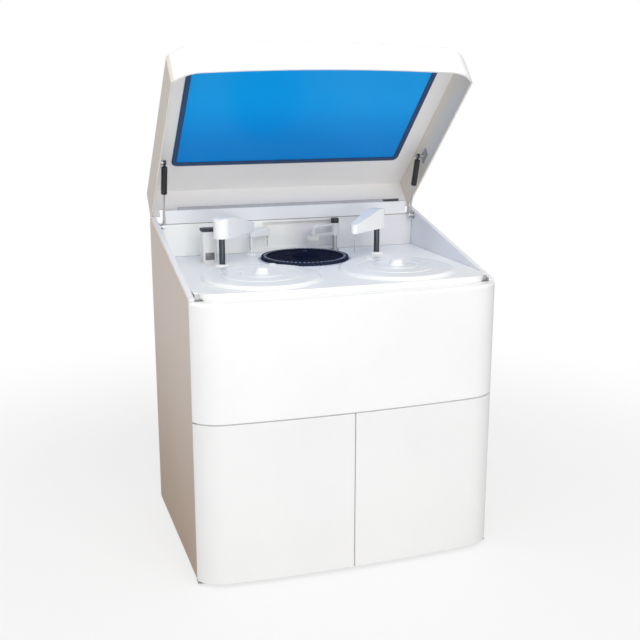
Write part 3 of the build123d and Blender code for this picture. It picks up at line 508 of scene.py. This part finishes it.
# Painted shadow: a grey strip where the gap under the lid lies in shade.
strip(
    "ledge_shadow_strip",
    [
        (shadow_strip_left + (shadow_strip_right - shadow_strip_left) * k / shadow_strip_steps, shadow_strip_y, ledge_high.z)
        for k in range(shadow_strip_steps + 1)
    ],
    round_section(shadow_strip_half, shadow_strip_rise, foot=-shadow_strip_sunk),
    soft_rubber("ledge_shadow_grey", (0.42, 0.40, 0.41), (0.55, 0.53, 0.54)),
    "cabinet",
)
switch_finish = Finish("switch_black", Roughness=0.5)
switch_grain = switch_finish.noise(500, 2)
switch_finish.vary(
    Base_Color=switch_finish.between((0.02, 0.02, 0.025), (0.05, 0.05, 0.055), switch_grain),
    Roughness=0.42 + switch_grain * 0.2,
)
switch_ends = (0.350, 0.408)
switch_back = 0.016
switch_section = ((-5, -0.3), (5, -0.3), (5, 5), (3.5, 7), (-3.5, 7), (-5, 5))
strip(
    "lid_switch",
    [(x, ledge_low.y + switch_back, ledge_high.z) for x in switch_ends],
    in_metres(switch_section),
    switch_finish,
    "cabinet",
)

# Lid: a deep moulded tray, white outside and in, that carries the window. Its side walls carry painted shade, a
# darker and warmer tint.
lid_finish = moulded_white(
    "lid_white",
    (0.965, 0.95, 0.94),
    (0.945, 0.93, 0.92),
    0.36,
    # Painted shade: the side walls are tinted darker and warmer.
    lambda lid: (
        (0.84, 0.77, 0.68),
        lid.band(lid.size_of(lid.across("X")), 0.4600, 0.4640),
    ),
)
dress("lid_shell", lid_finish)

# Window: a pane of azure acrylic, cast in one sheet, smeared a little by wiping, with a painted highlight that
# lightens it towards its top. A dark blue rubber profile is pressed round it and grips the lid's panel.
pane_finish = Finish("azure_pane", Roughness=0.2, IOR=1.49)
pane_finish.shader.inputs["Specular IOR Level"].default_value = 0.12
pane_smear = pane_finish.noise(6.0, 5, (1, 0.3, 0.3))
# Painted highlight: the blue is lighter towards the top of the pane.
pane_top_highlight = pane_finish.band(pane_finish.across("Z"), 1.24, 1.42)
pane_body = pane_finish.between((0.002, 0.27, 0.80), (0.004, 0.40, 0.98), pane_top_highlight)
pane_finish.vary(
    Base_Color=pane_finish.between(pane_body, (0.03, 0.42, 0.90), pane_smear * 0.18),
    Roughness=0.16 + pane_smear * 0.12,
)
dress("lid_window", pane_finish)

seal_finish = Finish("seal_rubber", Roughness=0.6)
seal_dust = seal_finish.noise(60, 3)
seal_finish.vary(
    Base_Color=seal_finish.between((0.012, 0.045, 0.13), (0.03, 0.08, 0.20), seal_dust),
    Roughness=0.5 + seal_dust * 0.2,
)
dress("window_seal", seal_finish)

# Carousel covers, arms, collars and wash wells: small mouldings in white gloss plastic, made in
# smooth tools and left unpainted.
small_white = moulded_white("knob_white", (0.93, 0.93, 0.93), (0.90, 0.90, 0.91), 0.30)
for node in (
    "sample_cover",
    "reagent_cover",
    "sample_arm",
    "reagent_arm",
    "mixer_arm",
    "sample_collar",
    "reagent_collar",
    "mixer_collar",
    "wash_wells",
):
    dress(node, small_white)

# Barcode reader: a white column with a dark cap and a small window of smoked glass that faces
# the sample carousel.
dress("barcode_reader", moulded_white("reader_white", (0.80, 0.80, 0.80), (0.74, 0.74, 0.75), 0.4))
reader_low, reader_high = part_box("barcode_reader")
reader_middle = (reader_low + reader_high) / 2
cap_lap, cap_slope = 0.001, 0.003
cap_foot, cap_edge, cap_top = -0.004, 0.003, 0.006
cap_half = (reader_high.y - reader_low.y) / 2
strip(
    "reader_cap",
    [
        (reader_low.x - cap_lap, reader_middle.y, reader_high.z),
        (reader_high.x + cap_lap, reader_middle.y, reader_high.z),
    ],
    [
        (-cap_half - cap_lap, cap_foot),
        (cap_half + cap_lap, cap_foot),
        (cap_half + cap_lap, cap_edge),
        (cap_half - cap_slope, cap_top),
        (cap_slope - cap_half, cap_top),
        (-cap_half - cap_lap, cap_edge),
    ],
    switch_finish,
    "cabinet",
)
glass_finish = Finish("reader_glass", Roughness=0.08)
glass_tint = glass_finish.noise(40, 2)
glass_finish.vary(
    Base_Color=glass_finish.between((0.16, 0.16, 0.18), (0.26, 0.26, 0.28), glass_tint),
    Roughness=0.06 + glass_tint * 0.05,
)
glass_half, glass_back, glass_foot = 0.0148, 0.0025, 0.0102
glass_section = ((-0.6, 0), (0.6, 0), (1.0, 0.6), (1.0, 23), (0.6, 23.6), (-0.6, 23.6))
strip(
    "reader_window",
    [
        (reader_middle.x + side * glass_half, reader_low.y + glass_back, reader_low.z + glass_foot)
        for side in (-1, 1)
    ],
    in_metres(glass_section),
    glass_finish,
    "cabinet",
)

# Reaction ring: a near-black navy rotor, turned and anodised, with a painted highlight that lightens its edges to
# blue grey, over the pale trough of the bath.
# Square cuvettes of clear plastic stand in its pockets.
rotor_finish = Finish("rotor_navy", Roughness=0.6)
rotor_finish.shader.inputs["Specular IOR Level"].default_value = 0.01
rotor_cloud = rotor_finish.noise(40, 3)
rotor_edge_highlight = rotor_finish.edge_wear_and_highlight()
rotor_base = rotor_finish.between((0.003, 0.005, 0.014), (0.008, 0.012, 0.034), rotor_cloud)
rotor_finish.vary(
    # Painted highlight: the edges of the rotor, its nut and its screws are lightened to blue grey.
    Base_Color=rotor_finish.between(rotor_base, (0.05, 0.07, 0.13), rotor_edge_highlight * 0.4),
    Roughness=0.55 + rotor_cloud * 0.2,
)
dress("reaction_rotor", rotor_finish)

bath_finish = Finish("bath_grey", Roughness=0.4)
bath_cloud = bath_finish.noise(30, 2)
bath_finish.vary(
    Base_Color=bath_finish.between((0.48, 0.52, 0.60), (0.60, 0.64, 0.72), bath_cloud),
    Roughness=0.32 + bath_cloud * 0.15,
)
dress("reaction_bath", bath_finish)

cuvette_finish = Finish("cuvette_clear", Roughness=0.1, IOR=1.49)
cuvette_haze = cuvette_finish.noise(90, 2)
cuvette_finish.vary(
    Base_Color=cuvette_finish.between((0.06, 0.08, 0.14), (0.30, 0.36, 0.48), cuvette_haze),
    Roughness=0.06 + cuvette_haze * 0.1,
)
dress("cuvettes", cuvette_finish)


# Shafts, needles and rods: ground or drawn steel, the two arm shafts blackened, the needles and
# the rods of the gas springs and pumps left bright.
def bare_metal(name, colour, gloss, stretch, tone=0.8):
    """Metal with fine drawn lines along one axis."""
    finish = Finish(name, Metallic=1.0)
    lines = finish.noise(600, 3, stretch)
    cloud = finish.noise(12, 2)
    dark = tuple(c * tone for c in colour)
    finish.vary(
        Base_Color=finish.between(dark, colour, lines * 0.6 + cloud * 0.4),
        Roughness=gloss + (lines - 0.5) * 0.2,
        Normal=finish.bump(lines, 0.00002),
    )
    return finish


dark_shaft = bare_metal("dark_shaft", (0.10, 0.105, 0.115), 0.35, (1, 1, 0.05))
needle = bare_metal("needle", (0.62, 0.63, 0.64), 0.2, (1, 1, 0.05))
bright_rod = bare_metal("bright_rod", (0.75, 0.75, 0.76), 0.15, (1, 1, 0.05))
for node in ("sample_shaft", "reagent_shaft"):
    dress(node, dark_shaft)
for node in ("sample_probe", "reagent_probe", "mixer_paddle"):
    dress(node, needle)
for node in ("stay_rod_left", "stay_rod_right", "sample_plunger", "reagent_plunger"):
    dress(node, bright_rod)

# Brackets, hinges, studs, guides and the wash post: pressed or turned steel, zinc plated, with
# the dull cloud of the plating bath.
zinc = bare_metal("zinc", (0.55, 0.55, 0.56), 0.42, (1, 1, 1), 0.7)
for node in (
    "door_pivots",
    "lid_hinge_bases",
    "lid_hinge_leaves",
    "stay_studs",
    "stay_brackets",
    "arm_guides",
    "wash_post",
):
    dress(node, zinc)

# Frame and drive plate: plain square tube, welded, and a rolled aluminium plate on its upper
# rails.
dress("mid_pan", bare_metal("plate_alu", (0.62, 0.63, 0.64), 0.4, (0.1, 1, 1)))
dress("chassis_frame", bare_metal("frame_grey", (0.50, 0.51, 0.52), 0.45, (1, 1, 0.1)))


# Painted sheet and dark moulded plastic: rear panel, floor pan, power supply, wash carriage,
# levelling feet, motors and the mains inlet with its rocker.
def painted(name, colour, gloss, grain=0.00008):
    """Powder coat or textured plastic: fine grain, faint clouding, edges rubbed lighter."""
    finish = Finish(name, Roughness=gloss)
    speck = finish.noise(1100, 2)
    cloud = finish.noise(7, 3)
    rub = finish.edge_wear_and_highlight()
    dim = tuple(c * 0.86 for c in colour)
    pale = tuple(min(1.0, c * 1.25 + 0.02) for c in colour)
    body = finish.between(dim, colour, cloud)
    finish.vary(
        Base_Color=finish.between(body, pale, rub * 0.5),
        Roughness=gloss + (speck - 0.5) * 0.15,
        Normal=finish.bump(speck, grain),
    )
    return finish


panel_paint = painted("panel_grey", (0.62, 0.61, 0.60), 0.5)
black_plastic = painted("black_plastic", (0.015, 0.015, 0.016), 0.45)
dress("rear_panel", panel_paint)
dress("power_supply", painted("supply_grey", (0.58, 0.58, 0.57), 0.5))
dress("floor_pan", painted("pan_grey", (0.45, 0.46, 0.47), 0.5))
dress("leveling_feet", painted("foot_black", (0.03, 0.03, 0.03), 0.7))
dress("drive_motors", painted("motor_black", (0.02, 0.02, 0.022), 0.4))
dress("mains_inlet", black_plastic)
dress("power_rocker", black_plastic)
dress("wash_carriage", painted("carriage_grey", (0.62, 0.63, 0.64), 0.4))

# Louvre hoods: pressed out of thin sheet and spot welded over the slots of the rear panel, so
# that drips run past them.
panel_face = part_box("rear_panel")[1].y
hood_section = (
    (0.2, 6.2), (-1.8, 5.4), (-2.9, 3.2), (-2.9, -1.2), (-2.1, -1.2), (-2.0, 2.4), (0.2, 4.4)
)
hood_half = 0.077
bank_x, bank_z = 0.220, 0.700
slot_pitch, slot_rows = 0.014, 9
hoods_made = bmesh.new()
for bank in (-bank_x, bank_x):
    for row in range(slot_rows):
        slot_z = bank_z + slot_pitch * (row - (slot_rows - 1) / 2)
        sweep_section(
            hoods_made,
            [(bank + hood_half * k, panel_face, slot_z) for k in (-1, -0.5, 0, 0.5, 1)],
            in_metres(hood_section),
        )
new_piece("louvre_hoods", hoods_made, panel_paint, "cabinet")


# Screws of the rear panel and of both hinge halves: zinc plated, with a hexagon socket. They
# pull the sheet and the leaves onto the posts and onto the lid's rear wall.
def socket_screw(mesh_made, place, towards, radius, count=24):
    """Button head screw with a hexagon socket sunk into it."""
    aim = Vector(towards).to_track_quat("Z", "Y").to_matrix().to_4x4()
    stand = Matrix.Translation(Vector(place)) @ aim
    turns = [2 * math.pi * k / count for k in range(count)]
    rings = []
    for reach, rise in ((1, 0), (0.98, 0.18), (0.86, 0.42), (0.64, 0.58), (0.56, 0.60)):
        rings.append([(radius * reach, turn, radius * rise) for turn in turns])
    half_flat = 0.40 * radius
    socket_rim, socket_floor = 0.60, 0.20
    sector = math.pi / 3
    for rise in (socket_rim, socket_floor):
        rings.append(
            [
                (half_flat / math.cos(abs(turn % sector - sector / 2)), turn, radius * rise)
                for turn in turns
            ]
        )
    rings = [
        [
            mesh_made.verts.new(
                stand @ Vector((reach * math.cos(turn), reach * math.sin(turn), height))
            )
            for reach, turn, height in ring
        ]
        for ring in rings
    ]
    for low, high in zip(rings, rings[1:]):
        for k in range(count):
            mesh_made.faces.new((low[k - 1], low[k], high[k], high[k - 1]))
    mesh_made.faces.new(rings[0][::-1])
    mesh_made.faces.new(rings[-1])


def screws(name, body, places, towards, radius, finish):
    """One piece with a socket screw at each place."""
    made = bmesh.new()
    for place in places:
        socket_screw(made, place, towards, radius)
    return new_piece(name, made, finish, body)


panel_screw, hinge_screw = 0.0048, 0.0036
post_x, hinge_x = 0.4425, 0.330
screw_aside = 0.02
pin_to_leaf, leaf_thick = 0.008, 0.003
screws(
    "rear_panel_screws",
    "cabinet",
    [(x, panel_face, z) for x in (-post_x, post_x) for z in (0.08, 0.29, 0.50, 0.71, 0.92)],
    (0, 1, 0),
    panel_screw,
    zinc,
)
leaf_rows = [x + aside for x in (-hinge_x, hinge_x) for aside in (-screw_aside, screw_aside)]
screws(
    "hinge_base_screws",
    "cabinet",
    [(x, panel_face + leaf_thick, z) for x in leaf_rows for z in (0.956, 0.978)],
    (0, 1, 0),
    hinge_screw,
    zinc,
)
lid_lean = math.radians(42.8)
lid_back = Vector((0, math.cos(lid_lean), -math.sin(lid_lean)))
lid_out = Vector((0, math.sin(lid_lean), math.cos(lid_lean)))
lid_pin = Vector(next(j["pos_m"] for j in frame["joints"] if j["name"] == "lid_hinge"))
screws(
    "hinge_leaf_screws",
    "lid",
    [
        lid_pin + lid_back * (pin_to_leaf + leaf_thick) + lid_out * reach + Vector((x, 0, 0))
        for x in leaf_rows
        for reach in (0.034, 0.074)
    ],
    lid_back,
    hinge_screw,
    zinc,
)


# Knob that clamps the wash post: moulded black plastic, ribbed for the fingers and pressed on
# the post's end.
def lathe(mesh_made, profile, middle, count=32, lobes=0, lobe_depth=0.0, bored=False):
    """Turn a profile of (radius, height) points around an upright axis."""
    rings = []
    for step in range(count):
        turn = 2 * math.pi * step / count
        swell = 1 + lobe_depth * math.cos(lobes * turn)
        aside = Vector((swell * math.cos(turn), swell * math.sin(turn), 0))
        rings.append(
            [mesh_made.verts.new(middle + aside * r + Vector((0, 0, z))) for r, z in profile]
        )
    for this, after in zip(rings, rings[1:] + rings[:1]):
        for low in range(-1 if bored else 0, len(profile) - 1):
            mesh_made.faces.new((this[low], after[low], after[low + 1], this[low + 1]))
    if not bored:
        mesh_made.faces.new([ring[0] for ring in rings][::-1])
        mesh_made.faces.new([ring[-1] for ring in rings])


def turned(name, profile, middles, finish, body, slot, **shape):
    """One piece with a profile in millimetres turned around each middle."""
    made = bmesh.new()
    for middle in middles:
        lathe(made, in_metres(profile), middle, **shape)
    return new_piece(name, made, finish, body)


def top_middle(box):
    """Middle of a box's top."""
    low, high = box
    return Vector(((low.x + high.x) / 2, (low.y + high.y) / 2, high.z))


turned(
    "post_knob",
    ((8.2, -12), (12.5, -11.5), (13.5, -9), (13.5, 4), (12.0, 6.8), (6.0, 7.5)),
    [top_middle(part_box("wash_post"))],
    black_plastic,
    "cabinet",
    "black_plastic",
    count=72,
    lobes=18,
    lobe_depth=0.03,
)

# Grips and port rings of the carousel covers: each knob has a ribbed band for the fingers, and
# a turned ring lines the hole that the probe reaches through.
grip_profile = ((18.6, -12.8), (19.4, -12.2), (19.0, -4.2), (18.0, -3.2))
port_profile = ((8.1, -4.0), (12.0, -4.0), (12.0, 0.8), (11.2, 1.6), (8.8, 1.6), (8.1, 1.0))
port_below = 0.0212  # from the knob's top down to the cover beside the port
openings = {o["name"]: o["box_m"] for o in frame["record"]["physics"]["openings"]}
for kind in ("sample", "reagent"):
    knob_top = top_middle(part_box(kind + "_cover"))
    turned(
        kind + "_cover_grip",
        grip_profile,
        [knob_top],
        small_white,
        kind + "_lid",
        "knob_white",
        count=96,
        lobes=24,
        lobe_depth=0.02,
        bored=True,
    )
    port_low, port_high = (Vector(corner) for corner in openings[kind + "_cover_port"])
    port_middle = (port_low + port_high) / 2
    port_middle.z = knob_top.z - port_below
    turned(
        kind + "_port_ring",
        port_profile,
        [port_middle],
        small_white,
        kind + "_lid",
        "knob_white",
        count=40,
        bored=True,
    )

# Nut and screws of the reaction rotor: a blackened nut holds it on its spindle, and three
# screws hold its hub.
hub_top = top_middle(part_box("reaction_rotor"))
hub_screw, hub_screw_circle, hub_step = 0.0035, 0.056, 0.014
turned(
    "rotor_nut",
    ((9.0, -0.6), (9.0, 4.0), (7.8, 5.2)),
    [hub_top],
    rotor_finish,
    "reaction_ring",
    "rotor_navy",
    count=6,
)
screws(
    "rotor_screws",
    "reaction_ring",
    [
        hub_top
        + Vector((hub_screw_circle * math.cos(turn), hub_screw_circle * math.sin(turn), -hub_step))
        for turn in (0.5, 0.5 + 2 * math.pi / 3, 0.5 + 4 * math.pi / 3)
    ],
    (0, 0, 1),
    hub_screw,
    rotor_finish,
)

# Caps of the system bottles: moulded in black, ribbed for the hand and screwed on the necks.
bottles_top = top_middle(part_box("fluid_bottles"))
bottle_places = (0.170, 0.270, 0.370)
turned(
    "bottle_caps",
    ((19.8, -20.2), (20.8, -19.8), (20.6, 0.0), (19.0, 1.4), (6.0, 1.6)),
    [Vector((x, bottles_top.y, bottles_top.z)) for x in bottle_places],
    black_plastic,
    "cabinet",
    "black_plastic",
    count=96,
    lobes=32,
    lobe_depth=0.012,
)

# Gas spring cylinders: drawn steel tubes, lacquered black and glossy. Each hangs on a stud of the
# lid, with its rod at the lower end.
stay_black = painted("black_tube", (0.012, 0.012, 0.013), 0.25, 0.00001)
for node in ("stay_cylinder_left", "stay_cylinder_right"):
    dress(node, stay_black)

# Carousel rotors: grey mouldings under the covers, one that holds the sample tubes and one that
# holds the reagent bottles.
rotor_colour = (0.52, 0.53, 0.55)
dress("sample_rotor", painted("rotor_grey", rotor_colour, 0.45))
dress("reagent_rotor", painted("rack_grey", rotor_colour, 0.45))


# Bottles, tubes, pumps and hoses: blown or drawn natural polyethylene, and the clearer plastic of
# the tubes and syringe barrels.
def natural_plastic(name, colour, milk):
    """Milky plastic with a faint vertical flow and soft gloss."""
    finish = Finish(name, Roughness=0.35)
    flow = finish.noise(25, 3, (1, 1, 0.3))
    finish.shader.inputs["Subsurface Weight"].default_value = 0.1
    finish.shader.inputs["Subsurface Scale"].default_value = 0.01
    finish.vary(
        Base_Color=finish.between(milk, colour, flow), Roughness=0.28 + flow * 0.18
    )
    return finish


dress("fluid_bottles", natural_plastic("bottle_white", (0.82, 0.82, 0.78), (0.74, 0.75, 0.72)))
dress("reagent_bottles", natural_plastic("reagent_white", (0.80, 0.80, 0.78), (0.72, 0.72, 0.71)))
dress("sample_tubes", natural_plastic("tube_clear", (0.72, 0.70, 0.62), (0.60, 0.56, 0.46)))
dress("syringe_pumps", natural_plastic("pump_clear", (0.70, 0.72, 0.73), (0.62, 0.64, 0.66)))
dress("wash_head", natural_plastic("hose_white", (0.80, 0.81, 0.80), (0.72, 0.73, 0.72)))
dress("fluid_ports", natural_plastic("port_white", (0.76, 0.76, 0.74), (0.70, 0.70, 0.69)))
